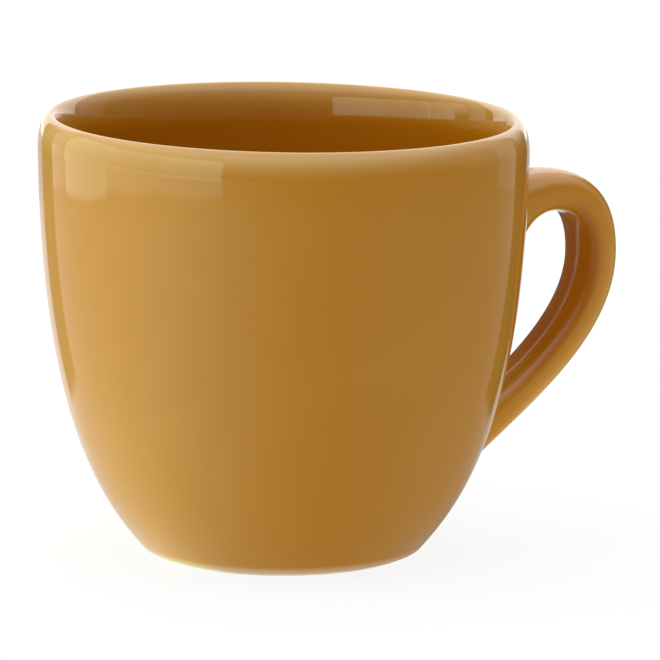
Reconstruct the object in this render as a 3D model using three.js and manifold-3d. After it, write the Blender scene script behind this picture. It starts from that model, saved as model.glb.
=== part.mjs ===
// A glazed ceramic tea cup. A clay bowl carries a clay strap handle, which is stuck on with
// two layers of slip, and coats of glaze cover all but the ring that the cup stands on.
// Millimetres, +Z up. The origin is on the bowl's axis, in the plane that the foot ring
// stands on, and the handle points along +X.
import * as THREE from "three";
import { mergeVertices } from "three/addons/utils/BufferGeometryUtils.js";
import Module from "manifold-3d";

const wasm = await Module();
wasm.setup();

const degrees = THREE.MathUtils.degToRad;

// Bowl, bare clay
const RIM_RADIUS = 44.65;
const BOWL_HEIGHT = 80.5;
const WALL = 4.2;
const LIP_OUTER_RADIUS = 2.0;
const LIP_OUTER_LIMIT = 0.8; // the most of the wall's thickness that this arc takes
const LIP_INNER_HEIGHT = 9; // height over which the inside of the lip rounds into the wall
const WALL_START_ANGLE = degrees(50.2); // slope of the wall where it leaves the foot's corner
const WALL_START_PULL = 10.1; // how strongly the wall follows that slope
const WALL_UPRIGHT_Z = 23.5; // the upright part of the wall draws the curve from this height
const FLOOR_THICKNESS = 4.3;
const FLOOR_CORNER_HEIGHT = 12; // height over which the inside wall rounds into the floor
const FLOOR_FLAT_RADIUS = 13;

// Foot
const FOOT_RADIUS = 22.6;
const FOOT_CORNER_RADIUS = 4.15;
const FOOT_LAND_WIDTH = 3.6; // the flat ring that touches the table
const WELL_SLOPE_WIDTH = 0.8;
const WELL_DEPTH = 1.05;

// Coats of glaze
const GLAZE = 0.35;
const GLAZE_LINE_ANGLE = degrees(28); // where the coat ends on the foot's corner, up from below

// Handle, bare clay
const STRAP_WIDTH_TOP = 11.8;
const STRAP_WIDTH_TAIL = 8.8;
const STRAP_THICKNESS = 7.1;
const STRAP_SQUARENESS = 2.6; // 2 makes an ellipse, and more comes nearer to a rectangle
const ROOT_BELOW_RIM = 18.7;
const ROOT_RISE = degrees(20);
const ROOT_PULL = 9.5;
const BEND_REACH = 20.65; // from the rim out to the middle of the strap
const BEND_BELOW_RIM = 29.2;
const BEND_UPPER_PULL = 15.3;
const BEND_LOWER_PULL = 13.5;
const TAIL_Z = 15.6;
const TAIL_SLOPE = degrees(35.5);
const TAIL_PULL = 19.8;
const FLARE_DEPTH = 7; // the flares at both ends are fullest this far inside the wall
const ROOT_FLARE = 10.5; // extra clay on the finger side
const ROOT_SPREAD = 2.1; // extra clay on each edge
const ROOT_FLARE_LENGTH = 9.5;
const TAIL_FLARE = 3.5;
const TAIL_SPREAD = 1.4;
const TAIL_FLARE_LENGTH = 14;

// Joints between the handle and the bowl
const SLIP = 1.0;
const CLEARANCE = 0.3;
const STRAP_OVERRUN = 9; // straight ends of the strap inside the wall, which are cut away
const SAME_POINT = 1e-6; // nearer points count as one
const HALVINGS = 40;

// Facets
const TURN_STEPS = 48;
const CORNER_STEPS = 2;
const WALL_STEPS = 9;
const INSIDE_WALL_STEPS = 7;
const FLOOR_CORNER_STEPS = 5;
const LIP_STEPS = 3;
const INNER_LIP_STEPS = 5;
const STRAP_SIDES = 16;
const RUN_STEPS = 10;
const OVERRUN_STEPS = 3;

// Outline of the bowl, as points of radius and height

const lipOuter = Math.min(LIP_OUTER_RADIUS, LIP_OUTER_LIMIT * WALL);
const wallTopZ = BOWL_HEIGHT - lipOuter;
const floorZ = WELL_DEPTH + FLOOR_THICKNESS;
const wellRadius = FOOT_RADIUS - FOOT_LAND_WIDTH - WELL_SLOPE_WIDTH;

function arc(centre, radius, from, to, steps) {
  return new THREE.ArcCurve(centre.x, centre.y, radius, from, to, to < from).getPoints(steps);
}

// Lines end to end, without the points that two lines share.
function chain(...lines) {
  const points = lines.flat();
  return points.filter((point, i) => i === 0 || point.distanceTo(points[i - 1]) > SAME_POINT);
}

// A line moved sideways, to the right of the way that it runs.
function offsetLine(line, distance) {
  return line.map((point, i) => {
    const back = line[Math.max(i - 1, 0)];
    const ahead = line[Math.min(i + 1, line.length - 1)];
    const along = ahead.clone().sub(back).normalize();
    return new THREE.Vector2(point.x + distance * along.y, point.y - distance * along.x);
  });
}

// The foot's corner between two angles, counted up from straight below its centre.
function footCorner(from, to) {
  const centre = new THREE.Vector2(FOOT_RADIUS, FOOT_CORNER_RADIUS);
  return arc(centre, FOOT_CORNER_RADIUS, from - Math.PI / 2, to - Math.PI / 2, CORNER_STEPS);
}

const glazedCorner = footCorner(GLAZE_LINE_ANGLE, WALL_START_ANGLE);
const wallStart = glazedCorner.at(-1);
const wallSlope = new THREE.Vector2(Math.cos(WALL_START_ANGLE), Math.sin(WALL_START_ANGLE));
const wallCurve = new THREE.CubicBezierCurve(
  wallStart,
  wallStart.clone().addScaledVector(wallSlope, WALL_START_PULL),
  new THREE.Vector2(RIM_RADIUS, WALL_UPRIGHT_Z),
  new THREE.Vector2(RIM_RADIUS, wallTopZ),
);

// The wall rises all the way, so its place on the curve at a height is found by halving.
function wallPlaceAt(z) {
  let low = 0;
  let high = 1;
  for (let i = 0; i < HALVINGS; i++) {
    const middle = (low + high) / 2;
    if (wallCurve.getPoint(middle).y < z) low = middle;
    else high = middle;
  }
  return low;
}

function insideWall() {
  const highest = wallPlaceAt(BOWL_HEIGHT - LIP_INNER_HEIGHT);
  const lowest = wallPlaceAt(floorZ + FLOOR_CORNER_HEIGHT);
  const points = [];
  for (let i = 0; i <= INSIDE_WALL_STEPS; i++) {
    const place = THREE.MathUtils.lerp(highest, lowest, i / INSIDE_WALL_STEPS);
    const along = wallCurve.getTangent(place);
    const inwards = new THREE.Vector2(-along.y, along.x);
    points.push(wallCurve.getPoint(place).addScaledVector(inwards, WALL));
  }
  return points;
}

// From the foot of the inside wall, a round corner down to the flat of the floor.
function floorCorner(wall) {
  const start = wall.at(-1);
  const slope = start.clone().sub(wall.at(-2));
  const turn = start.clone().addScaledVector(slope, (floorZ - start.y) / slope.y);
  const end = new THREE.Vector2(FLOOR_FLAT_RADIUS, floorZ);
  return new THREE.QuadraticBezierCurve(start, turn, end).getPoints(FLOOR_CORNER_STEPS);
}

const lipTop = new THREE.Vector2(RIM_RADIUS - lipOuter, BOWL_HEIGHT);

// From the top of the lip, a quarter of a tall ellipse down to the head of the inside wall.
function innerLip(wall) {
  const end = wall[0];
  const width = lipTop.x - end.x;
  const height = lipTop.y - end.y;
  const curve = new THREE.EllipseCurve(lipTop.x, end.y, width, height, Math.PI / 2, Math.PI);
  return curve.getPoints(INNER_LIP_STEPS);
}

const outside = chain(
  glazedCorner,
  wallCurve.getPoints(WALL_STEPS),
  arc(new THREE.Vector2(lipTop.x, BOWL_HEIGHT - lipOuter), lipOuter, 0, Math.PI / 2, LIP_STEPS),
);
const insideWallLine = insideWall();
const inside = chain(
  innerLip(insideWallLine),
  insideWallLine,
  floorCorner(insideWallLine),
  [new THREE.Vector2(0, floorZ)],
);
const outsideCoat = offsetLine(outside, GLAZE);
const insideCoat = offsetLine(inside, GLAZE);

// A profile of radius and height turned about the Z axis.
function turned(profile) {
  return new THREE.LatheGeometry(profile, TURN_STEPS).rotateX(Math.PI / 2);
}

// Strap of the handle, swept along a line in the XZ plane

const rootZ = BOWL_HEIGHT - ROOT_BELOW_RIM;
const bend = new THREE.Vector2(RIM_RADIUS + BEND_REACH, BOWL_HEIGHT - BEND_BELOW_RIM);
const root = wallCurve.getPoint(wallPlaceAt(rootZ));
const tail = wallCurve.getPoint(wallPlaceAt(TAIL_Z));
const rootWay = new THREE.Vector2(Math.cos(ROOT_RISE), Math.sin(ROOT_RISE));
const tailWay = new THREE.Vector2(-Math.cos(TAIL_SLOPE), -Math.sin(TAIL_SLOPE));
const upperRun = new THREE.CubicBezierCurve(
  root,
  root.clone().addScaledVector(rootWay, ROOT_PULL),
  new THREE.Vector2(bend.x, bend.y + BEND_UPPER_PULL),
  bend,
);
const lowerRun = new THREE.CubicBezierCurve(
  bend,
  new THREE.Vector2(bend.x, bend.y - BEND_LOWER_PULL),
  tail.clone().addScaledVector(tailWay, -TAIL_PULL),
  tail,
);

const rootStub = new THREE.LineCurve(root.clone().addScaledVector(rootWay, -STRAP_OVERRUN), root);
const tailStub = new THREE.LineCurve(tail, tail.clone().addScaledVector(tailWay, STRAP_OVERRUN));

// The strap's middle line as points with their directions and their distance from the root.
function strapLine() {
  const line = [];
  let travelled = -STRAP_OVERRUN;
  const follow = (curve, steps) => {
    for (let i = Math.min(line.length, 1); i <= steps; i++) {
      const point = curve.getPoint(i / steps);
      const way = curve.getTangent(i / steps);
      travelled += line.length > 0 ? point.distanceTo(line.at(-1).point) : 0;
      line.push({ point, way, travelled });
    }
  };
  follow(rootStub, OVERRUN_STEPS);
  follow(upperRun, RUN_STEPS);
  follow(lowerRun, RUN_STEPS);
  follow(tailStub, OVERRUN_STEPS);
  return line;
}

const stations = strapLine();
const strapLength = stations.at(-1).travelled - STRAP_OVERRUN;

// How full a flare is at a distance out from the wall.
function flareAt(distance, length) {
  return Math.exp(-(((distance + FLARE_DEPTH) / length) ** 2));
}

// The strap's outline at a station, grown all round.
function strapRing({ point, way, travelled }, growth) {
  const share = THREE.MathUtils.clamp(travelled / strapLength, 0, 1);
  const rootFlare = flareAt(travelled, ROOT_FLARE_LENGTH);
  const tailFlare = flareAt(strapLength - travelled, TAIL_FLARE_LENGTH);
  const width = THREE.MathUtils.lerp(STRAP_WIDTH_TOP, STRAP_WIDTH_TAIL, share);
  const halfWidth = width / 2 + ROOT_SPREAD * rootFlare + TAIL_SPREAD * tailFlare + growth;
  const outerHalf = STRAP_THICKNESS / 2 + growth;
  const fingerHalf = outerHalf + ROOT_FLARE * rootFlare + TAIL_FLARE * tailFlare;
  const ring = [];
  for (let i = 0; i < STRAP_SIDES; i++) {
    const angle = (2 * Math.PI * i) / STRAP_SIDES;
    const across = Math.sign(Math.cos(angle)) * Math.abs(Math.cos(angle)) ** (2 / STRAP_SQUARENESS);
    const away = Math.sign(Math.sin(angle)) * Math.abs(Math.sin(angle)) ** (2 / STRAP_SQUARENESS);
    const out = away * (away < 0 ? fingerHalf : outerHalf);
    ring.push(new THREE.Vector3(point.x - out * way.y, across * halfWidth, point.y + out * way.x));
  }
  return ring;
}

// A closed solid through rings of as many points each, with a flat cap at both ends.
function loft(rings) {
  const sides = rings[0].length;
  const faces = [];
  for (let i = 0; i + 1 < rings.length; i++) {
    for (let j = 0; j < sides; j++) {
      const a = i * sides + j;
      const b = i * sides + ((j + 1) % sides);
      faces.push(a, b, b + sides, a, b + sides, a + sides);
    }
  }
  const last = (rings.length - 1) * sides;
  for (let j = 1; j + 1 < sides; j++) {
    faces.push(0, j + 1, j, last, last + j, last + j + 1);
  }
  return new THREE.BufferGeometry().setFromPoints(rings.flat()).setIndex(faces);
}

function strap(growth, line = stations) {
  return loft(line.map((station) => strapRing(station, growth)));
}

// Cuts

function toSolid(geometry) {
  const bare = geometry.clone();
  bare.deleteAttribute("normal");
  bare.deleteAttribute("uv");
  const merged = mergeVertices(bare);
  return new wasm.Manifold(
    new wasm.Mesh({
      numProp: 3,
      vertProperties: merged.attributes.position.array,
      triVerts: new Uint32Array(merged.index.array),
    }),
  );
}

function toGeometry(solid) {
  const { vertProperties, triVerts } = solid.getMesh();
  const geometry = new THREE.BufferGeometry();
  geometry.setAttribute("position", new THREE.BufferAttribute(vertProperties, 3));
  geometry.setIndex(new THREE.BufferAttribute(triVerts, 1));
  geometry.computeVertexNormals();
  return geometry;
}

// The outside of the bowl, grown and filled in, which trims what meets the wall.
function grownBowl(growth) {
  const line = offsetLine(outside, growth);
  const low = new THREE.Vector2(0, line[0].y);
  const high = new THREE.Vector2(0, line.at(-1).y);
  return toSolid(turned([low, ...line, high]));
}

function slipJoint(line) {
  const end = toSolid(strap(0, line));
  return toGeometry(end.intersect(grownBowl(CLEARANCE + SLIP)).subtract(grownBowl(CLEARANCE)));
}

// Pieces

function bowl() {
  return turned([
    new THREE.Vector2(0, WELL_DEPTH),
    new THREE.Vector2(wellRadius, WELL_DEPTH),
    new THREE.Vector2(wellRadius + WELL_SLOPE_WIDTH, 0),
    ...chain(footCorner(0, GLAZE_LINE_ANGLE), outside, inside),
  ]);
}

function handle() {
  return toGeometry(toSolid(strap(0)).subtract(grownBowl(CLEARANCE + SLIP + CLEARANCE)));
}

function outerGlaze() {
  const coat = turned([...outsideCoat, ...outside.toReversed(), outsideCoat[0]]);
  return toGeometry(toSolid(coat).subtract(toSolid(strap(GLAZE + CLEARANCE))));
}

function innerGlaze() {
  return turned([...inside.toReversed(), ...insideCoat]);
}

function handleGlaze() {
  return toGeometry(toSolid(strap(GLAZE)).subtract(grownBowl(CLEARANCE)).subtract(toSolid(strap(0))));
}

function footWellGlaze() {
  const edge = wellRadius - CLEARANCE;
  return turned([
    new THREE.Vector2(0, WELL_DEPTH - GLAZE),
    new THREE.Vector2(edge, WELL_DEPTH - GLAZE),
    new THREE.Vector2(edge, WELL_DEPTH),
    new THREE.Vector2(0, WELL_DEPTH),
  ]);
}

function piece(name, geometry, look) {
  const mesh = new THREE.Mesh(geometry, new THREE.MeshStandardMaterial(look));
  mesh.name = name;
  return mesh;
}

const CLAY = { color: 0xdfd0bb, roughness: 0.85, metalness: 0 };
const SLIP_LOOK = { color: 0xe8dcc8, roughness: 0.9, metalness: 0 };
const OCHRE_GLAZE = { color: 0xb17c35, roughness: 0.12, metalness: 0 };

const bendStation = OVERRUN_STEPS + RUN_STEPS;
const cup = new THREE.Group();
cup.add(
  piece("bowl", bowl(), CLAY),
  piece("handle", handle(), CLAY),
  piece("upper_slip_joint", slipJoint(stations.slice(0, bendStation)), SLIP_LOOK),
  piece("lower_slip_joint", slipJoint(stations.slice(bendStation)), SLIP_LOOK),
  piece("inner_glaze", innerGlaze(), OCHRE_GLAZE),
  piece("outer_glaze", outerGlaze(), OCHRE_GLAZE),
  piece("handle_glaze", handleGlaze(), OCHRE_GLAZE),
  piece("foot_well_glaze", footWellGlaze(), OCHRE_GLAZE),
);

export default cup;
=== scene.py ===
"""Looks of a glazed ceramic tea cup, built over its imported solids.

The bowl, its coat of glaze and the glaze in the well of the foot are turned on a wheel by Geometry
Nodes, from profiles of radius and height. The handle is a strap swept along a curve, with fillets
where it runs out on the wall. All lengths are in metres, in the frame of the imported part: +Z up,
the foot on the plane Z = 0, the handle towards +X.
"""

import math

import bpy
import numpy as np
from mathutils import Matrix, Vector


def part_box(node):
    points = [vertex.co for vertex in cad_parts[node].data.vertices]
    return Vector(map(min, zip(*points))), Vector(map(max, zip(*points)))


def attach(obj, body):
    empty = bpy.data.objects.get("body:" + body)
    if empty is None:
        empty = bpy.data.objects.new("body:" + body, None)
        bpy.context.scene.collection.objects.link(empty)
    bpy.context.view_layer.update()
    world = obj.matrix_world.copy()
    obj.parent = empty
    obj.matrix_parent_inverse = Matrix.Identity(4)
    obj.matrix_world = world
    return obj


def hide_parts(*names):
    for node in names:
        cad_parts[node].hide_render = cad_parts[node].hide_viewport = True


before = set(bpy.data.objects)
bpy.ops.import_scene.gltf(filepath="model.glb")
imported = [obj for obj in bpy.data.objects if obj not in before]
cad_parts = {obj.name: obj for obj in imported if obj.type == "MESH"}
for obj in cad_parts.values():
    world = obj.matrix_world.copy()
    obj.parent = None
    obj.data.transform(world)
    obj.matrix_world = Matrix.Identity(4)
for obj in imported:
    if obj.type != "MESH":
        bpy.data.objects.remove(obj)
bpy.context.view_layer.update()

bl_info = {
    "name": "Glazed Tea Cup",
    "version": (1, 0, 0),
    "blender": (4, 5, 0),
    "location": "3D View > Sidebar > Tea Cup",
    "description": "Builds a glazed tea cup with a strap handle and a studio to show it in",
    "category": "Add Mesh",
}

MM = 0.001
PHOTO_SIDE = 660  # pixels on each side of the photograph
SENSOR_WIDTH = 36  # of the camera, in millimetres
NEAREST_SEEN = 0.05

_, BOWL_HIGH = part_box("bowl")
_, COAT_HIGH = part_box("outer_glaze")
INSIDE_LOW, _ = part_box("inner_glaze")
WELL_LOW, WELL_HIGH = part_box("foot_well_glaze")

# Names of the two finishes, and of the marks of painted shade on the handle's finger side and of
# painted light on its outer side
GLAZE = "ochre_glaze"
CLAY = "bare_clay"
STRAP_SHADE = "glaze_pooled"
STRAP_LIGHT = "glaze_thinned"


def setting(kind, **options):
    """A maker of settings that a user can change, from a name, a description and a default."""

    def make(name, description, default):
        return kind(name=name, description=description, default=default, **options)

    return make


length = setting(bpy.props.FloatProperty, precision=5, subtype="DISTANCE", unit="LENGTH")
turn_by = setting(bpy.props.FloatProperty, subtype="ANGLE", unit="ROTATION")
number = setting(bpy.props.FloatProperty, precision=4)
whole = setting(bpy.props.IntProperty)
colour = setting(bpy.props.FloatVectorProperty, size=3, subtype="COLOR", min=0, max=1)
light_colour = setting(bpy.props.FloatVectorProperty, size=3, subtype="COLOR")


def angle(name, description, degrees):
    """An angle that a user can change."""
    return turn_by(name, description, math.radians(degrees))


class BowlSizes(bpy.types.PropertyGroup):
    """Sizes of the turned bowl and of its coats of glaze."""

    rim_radius: length("Rim Radius", "Radius of the bare clay at the rim", BOWL_HIGH.y)
    height: length("Height", "Height of the bare clay", BOWL_HIGH.z)
    wall: length("Wall", "Thickness of the clay wall", 4.2 * MM)
    lip_outer: length("Lip Outer Width", "Width of the outer half of the lip", 2.0 * MM)
    lip_rounded: length("Lip Outer Height", "Height of the round outside the lip", 4.4 * MM)
    lip_inner: length("Lip Inner Height", "Height of the round inside the lip", 9 * MM)
    wall_slope: angle("Wall Slope", "Slope of the wall where it leaves the foot", 50.2)
    wall_pull: length("Wall Pull", "How strongly the wall follows that slope", 10.1 * MM)
    upright_from: length("Upright From", "Height from which the wall is drawn upright", 23.5 * MM)
    floor_height: length("Floor Height", "Height of the clay floor inside", INSIDE_LOW.z)
    floor_corner: length("Floor Corner", "Height of the round from wall to floor", 12 * MM)
    floor_flat: length("Floor Flat", "Radius within which the floor is nearly flat", 11 * MM)
    foot_radius: length("Foot Radius", "Outer radius of the flat foot ring", 22.6 * MM)
    foot_corner: length("Foot Corner", "Radius of the corner above the foot ring", 4.15 * MM)
    land_width: length("Land Width", "Width of the flat ring that touches the table", 3.6 * MM)
    well_slope: length("Well Slope", "Width of the slope into the well of the foot", 0.8 * MM)
    well_depth: length("Well Depth", "Depth of the well of the foot in the clay", WELL_HIGH.z)
    glaze: length("Glaze", "Thickness of the coats of glaze", COAT_HIGH.y - BOWL_HIGH.y)
    glaze_line: angle("Glaze Line", "Where the outside coat ends on the corner of the foot", 38)
    rim_drop: length("Rim Drop", "How far the rim sank on one side in the kiln", 0.56 * MM)
    drop_direction: angle("Drop Direction", "The side on which the rim sank, from +X", -27.5)
    steps_around: whole("Steps Around", "Faces in one turn", 256)


class HandleSizes(bpy.types.PropertyGroup):
    """Sizes of the strap of the handle."""

    width_top: length("Upper Width", "Width of the clay strap at its upper end", 11.8 * MM)
    width_tail: length("Tail Width", "Width of the clay strap at its lower end", 8.8 * MM)
    thickness: length("Thickness", "Thickness of the clay strap", 7.1 * MM)
    squareness: number("Squareness", "2 is an ellipse, and more is nearer to a rectangle", 2.6)
    root_below_rim: length("Root Below Rim", "From the rim down to the upper end", 18.7 * MM)
    root_rise: angle("Root Rise", "Slope at which the strap leaves the wall", 20)
    root_pull: length("Root Pull", "How strongly the strap follows that slope", 9.5 * MM)
    bend_reach: length("Bend Reach", "From the rim out to the middle of the strap", 20.65 * MM)
    bend_below_rim: length("Bend Below Rim", "From the rim down to the furthest point", 29.2 * MM)
    bend_upper_pull: length("Upper Bend Pull", "Roundness above the furthest point", 15.3 * MM)
    bend_lower_pull: length("Lower Bend Pull", "Roundness below the furthest point", 13.5 * MM)
    tail_height: length("Tail Height", "Height of the lower end on the wall", 15.6 * MM)
    tail_slope: angle("Tail Slope", "Slope at which the tail runs into the wall", 35.5)
    tail_pull: length("Tail Pull", "How strongly the tail follows that slope", 19.8 * MM)
    flare_depth: length("Flare Depth", "The flares are fullest this far inside the wall", 7 * MM)
    root_flare: length("Root Flare", "Extra clay on the finger side of the upper end", 10.5 * MM)
    root_spread: length("Root Spread", "Extra clay on each edge of the upper end", 2.1 * MM)
    root_flare_length: length("Root Flare Length", "Where the upper flare dies away", 9.5 * MM)
    tail_flare: length("Tail Flare", "Extra clay on the finger side of the tail", 3.5 * MM)
    tail_spread: length("Tail Spread", "Extra clay on each edge of the tail", 1.4 * MM)
    tail_flare_length: length("Tail Flare Length", "Where the lower flare dies away", 14 * MM)
    overrun: length("Overrun", "Length of strap inside the wall", 9 * MM)
    fillet: length("Fillet", "From the corner at the wall to where its fillet starts", 2.4 * MM)
    root_depth: length("Root Depth", "How deep the ends go into the wall", 1.2 * MM)
    sides: whole("Sides", "Faces round the strap", 72)
    steps: whole("Steps", "Faces along the strap", 150)
    fillet_steps: whole("Fillet Steps", "Faces across a fillet", 8)


class Finishes(bpy.types.PropertyGroup):
    """Colours and gloss of the glaze and of the bare clay."""

    glaze: colour("Glaze", "Main colour of the glaze", (0.45, 0.19, 0.0105))
    glaze_light: colour("Thin Glaze", "Where the glaze is thinner", (0.51, 0.235, 0.02))
    glaze_deep: colour("Deep Glaze", "Where the glaze is thicker", (0.42, 0.163, 0.005))
    glaze_edge: colour("Glaze Edge", "Where the glaze ends above the foot", (0.66, 0.46, 0.24))
    # painted shade: the inside of the bowl is darker, as shade falls in its hollow
    glaze_inside_shade: colour("Inside Glaze", "The thick glaze inside", (0.375, 0.12, 0.003))
    # painted shade: the strap's finger side, which faces the bowl, is darker
    glaze_strap_shade: colour("Strap Glaze", "The thick glaze under the handle", (0.34, 0.105, 0.002))
    # partly real thin glaze on the lip and partly a painted highlight there; also the painted light
    # on the strap's outer side
    glaze_thin_and_sheen: colour("Lip Glaze", "The thinnest glaze, on the lip", (0.53, 0.29, 0.078))
    glaze_gloss: number("Glaze Roughness", "Roughness of the glaze", 0.05)
    pinhole: colour("Pinholes", "Colour of the pinholes in the glaze", (0.72, 0.52, 0.28))
    clay: colour("Clay", "Main colour of the bare clay", (0.77, 0.63, 0.47))
    clay_dark: colour("Clay Grain", "Darker patches and specks in the clay", (0.42, 0.30, 0.20))


class Studio(bpy.types.PropertyGroup):
    """Floor, light and camera."""

    distance: length("Camera Distance", "From the axis of the cup, along the floor", 1089.1 * MM)
    rise: length("Camera Height", "Height of the camera above the floor", 247.6 * MM)
    around: angle("Camera Direction", "From the right of the picture to the handle", 27.5)
    yaw: angle("Camera Yaw", "Turn of the camera to the right of the axis", 0.455)
    pitch: angle("Camera Pitch", "How far the camera looks down", 10.738)
    roll: angle("Camera Roll", "Turn of the picture", 0.365)
    focal: number("Focal Length", "Focal length in pixels of the photograph", 6026.7)
    floor: colour("Floor", "Colour of the floor", (0.86, 0.86, 0.86))
    room: light_colour("Room", "Brightest light of the room", (3.5, 3.5, 3.5))


class TeaCup(bpy.types.PropertyGroup):
    """All the settings of the tea cup."""

    bowl: bpy.props.PointerProperty(type=BowlSizes)
    handle: bpy.props.PointerProperty(type=HandleSizes)
    finishes: bpy.props.PointerProperty(type=Finishes)
    studio: bpy.props.PointerProperty(type=Studio)


def overload(operation):
    """An operator that adds a Math node, and its reflected form."""

    def forward(self, other):
        return self.maths(operation, self, other)

    def reflected(self, other):
        return self.maths(operation, other, self)

    return forward, reflected


class Socket:
    """An output of a node, which takes part in Python expressions."""

    def __init__(self, nodes, socket):
        self.nodes = nodes
        self.socket = socket

    def maths(self, operation, *values):
        """The result of a Math node."""
        return self.nodes.add("ShaderNodeMath", {"operation": operation}, dict(enumerate(values)))

    __add__, __radd__ = overload("ADD")
    __sub__, __rsub__ = overload("SUBTRACT")
    __mul__, __rmul__ = overload("MULTIPLY")
    __truediv__, __rtruediv__ = overload("DIVIDE")
    __pow__, __rpow__ = overload("POWER")
    __mod__, __rmod__ = overload("MODULO")

    def rise(self, start, end):
        """0 before start, 1 after end, and a smooth rise between them."""
        values = {"Value": self, "From Min": start, "From Max": end}
        return self.nodes.add("ShaderNodeMapRange", {"interpolation_type": "SMOOTHSTEP"}, values)


class Nodes:
    """A node tree that is written as Python expressions."""

    def __init__(self, tree):
        self.tree = tree

    def add(self, kind, settings=None, sockets=None, output=0):
        """A new node with its settings and the values or links of its sockets.

        Returns one of its outputs, or the node if it has none.
        """
        node = self.tree.nodes.new(kind)
        for name, value in (settings or {}).items():
            if name == "stops":
                self.set_stops(node.color_ramp, value)
            else:
                setattr(node, name, value)
        for key, value in (sockets or {}).items():
            self.fill(self.find(node.inputs, key), value)
        if not node.outputs:
            return node
        return Socket(self, self.find(node.outputs, output))

    def other(self, socket, output):
        """Another output of the node that a socket belongs to."""
        return Socket(self, self.find(socket.socket.node.outputs, output))

    def fill(self, socket, value):
        """Links an input or sets its value."""
        if isinstance(value, Socket):
            self.tree.links.new(value.socket, socket)
        else:
            socket.default_value = value

    @staticmethod
    def find(sockets, key):
        """A socket by its number, its identifier or its name."""
        if isinstance(key, int):
            return sockets[key]
        return next(s for s in sockets if key in (s.identifier, s.name))

    @staticmethod
    def set_stops(ramp, stops):
        """Gives a colour ramp its stops, from pairs of a place and a colour."""
        while len(ramp.elements) < len(stops):
            ramp.elements.new(1)
        for element, (position, value) in zip(ramp.elements, stops):
            element.position = position
            element.color = value


def rgba(colour_value):
    """A colour with full alpha."""
    return (*colour_value, 1)


def grey(level):
    """A grey with full alpha."""
    return (level, level, level, 1)


def in_scene(name, data):
    """A new object in the scene."""
    made = bpy.data.objects.new(name, data)
    bpy.context.scene.collection.objects.link(made)
    return made


# Profiles of the bowl, as arrays of radius and height, with the number of points on their stretches

CORNER_STEPS = 8
WALL_POINTS = 90
LIP_OUTER_STEPS = 24
LIP_INNER_STEPS = 35
INSIDE_POINTS = 800
INSIDE_KEPT = 9  # of the points inside, one in so many is kept
DISH_POINTS = 40
WELL_POINTS = 20
SAME_POINT = 1e-8  # points nearer than this count as one
LAND_EDGE = 0.3 * MM  # width of the first face of the foot ring
COAT_EDGE = 3  # length of the coat's rounded edge, in thicknesses of the coat


def unit(rows):
    """The rows of an array, each at a length of 1."""
    return rows / np.linalg.norm(rows, axis=1)[:, None]


def walk(line):
    """Distances from the start of a line to each of its points."""
    return np.concatenate([[0], np.cumsum(np.linalg.norm(np.diff(line, axis=0), axis=1))])


def arc(centre, radius, start, end, steps):
    """Points on a round arc between two angles in degrees, from the way of growing radius."""
    turn = np.radians(np.linspace(start, end, steps + 1))
    return np.column_stack([centre[0] + radius * np.cos(turn), centre[1] + radius * np.sin(turn)])


def quarter(side, top, steps):
    """A quarter of an ellipse from a point on the side of the lip to a point on its top."""
    turn = np.linspace(0, math.pi / 2, steps + 1)
    across = top[0] + (side[0] - top[0]) * np.cos(turn)
    return np.column_stack([across, side[1] + (top[1] - side[1]) * np.sin(turn)])


def bezier(controls, places):
    """Points and directions on a Bezier curve of any degree, at places between 0 and 1."""
    controls = np.array(controls, float)
    degree = len(controls) - 1

    def mix(points, power):
        weights = [
            math.comb(power, i) * places**i * (1 - places) ** (power - i)
            for i in range(power + 1)
        ]
        return np.column_stack(weights) @ points

    ways = mix(degree * np.diff(controls, axis=0), degree - 1)
    return mix(controls, degree), unit(ways)


def chain(*lines):
    """Lines end to end, without the points that two lines share."""
    points = np.vstack(lines)
    apart = np.linalg.norm(np.diff(points, axis=0), axis=1) > SAME_POINT
    return points[np.concatenate([[True], apart])]


def wall_controls(bowl):
    """Control points of the outside of the clay wall, from the corner of the foot to the lip."""
    slope = bowl.wall_slope
    start = (
        bowl.foot_radius + bowl.foot_corner * math.sin(slope),
        bowl.foot_corner * (1 - math.cos(slope)),
    )
    follow = (
        start[0] + bowl.wall_pull * math.cos(slope),
        start[1] + bowl.wall_pull * math.sin(slope),
    )
    top = bowl.height - bowl.lip_outer
    return [start, follow, (bowl.rim_radius, bowl.upright_from), (bowl.rim_radius, top)]


def foot_corner(bowl, start, end):
    """The corner of the foot between two angles in radians, from straight below its centre."""
    centre = (bowl.foot_radius, bowl.foot_corner)
    start, end = math.degrees(start) - 90, math.degrees(end) - 90
    return arc(centre, bowl.foot_corner, start, end, CORNER_STEPS)


def outside_line(bowl):
    """The outside of the clay, from the line where the glaze ends up to the top of the lip."""
    corner = foot_corner(bowl, bowl.glaze_line, bowl.wall_slope)
    wall, _ = bezier(wall_controls(bowl), np.linspace(0, 1, WALL_POINTS))
    wall = wall[wall[:, 1] < bowl.height - bowl.lip_rounded]
    top = (bowl.rim_radius - bowl.lip_outer, bowl.height)
    return chain(corner, wall, quarter(wall[-1], top, LIP_OUTER_STEPS))


def inside_line(bowl):
    """The inside of the clay, from the top of the lip down the wall to the middle of the floor."""
    points, ways = bezier(wall_controls(bowl), np.linspace(1, 0, INSIDE_POINTS))
    above_floor = points[:, 1] > bowl.floor_height + bowl.floor_corner
    below_lip = points[:, 1] < bowl.height - bowl.lip_inner
    wall = points + bowl.wall * np.column_stack([-ways[:, 1], ways[:, 0]])
    wall = wall[above_floor & below_lip][::INSIDE_KEPT]
    top = (bowl.rim_radius - bowl.lip_outer, bowl.height)
    lip = quarter(wall[0], top, LIP_INNER_STEPS)[::-1]
    run = wall[-1] - wall[-2]
    turning = wall[-1] + run * (bowl.floor_height - wall[-1][1]) / run[1]
    flat = (bowl.floor_flat, bowl.floor_height)
    middle = (0, bowl.floor_height)
    dish, _ = bezier([wall[-1], turning, flat, middle], np.linspace(0, 1, DISH_POINTS))
    return chain(lip, wall, dish)


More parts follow.
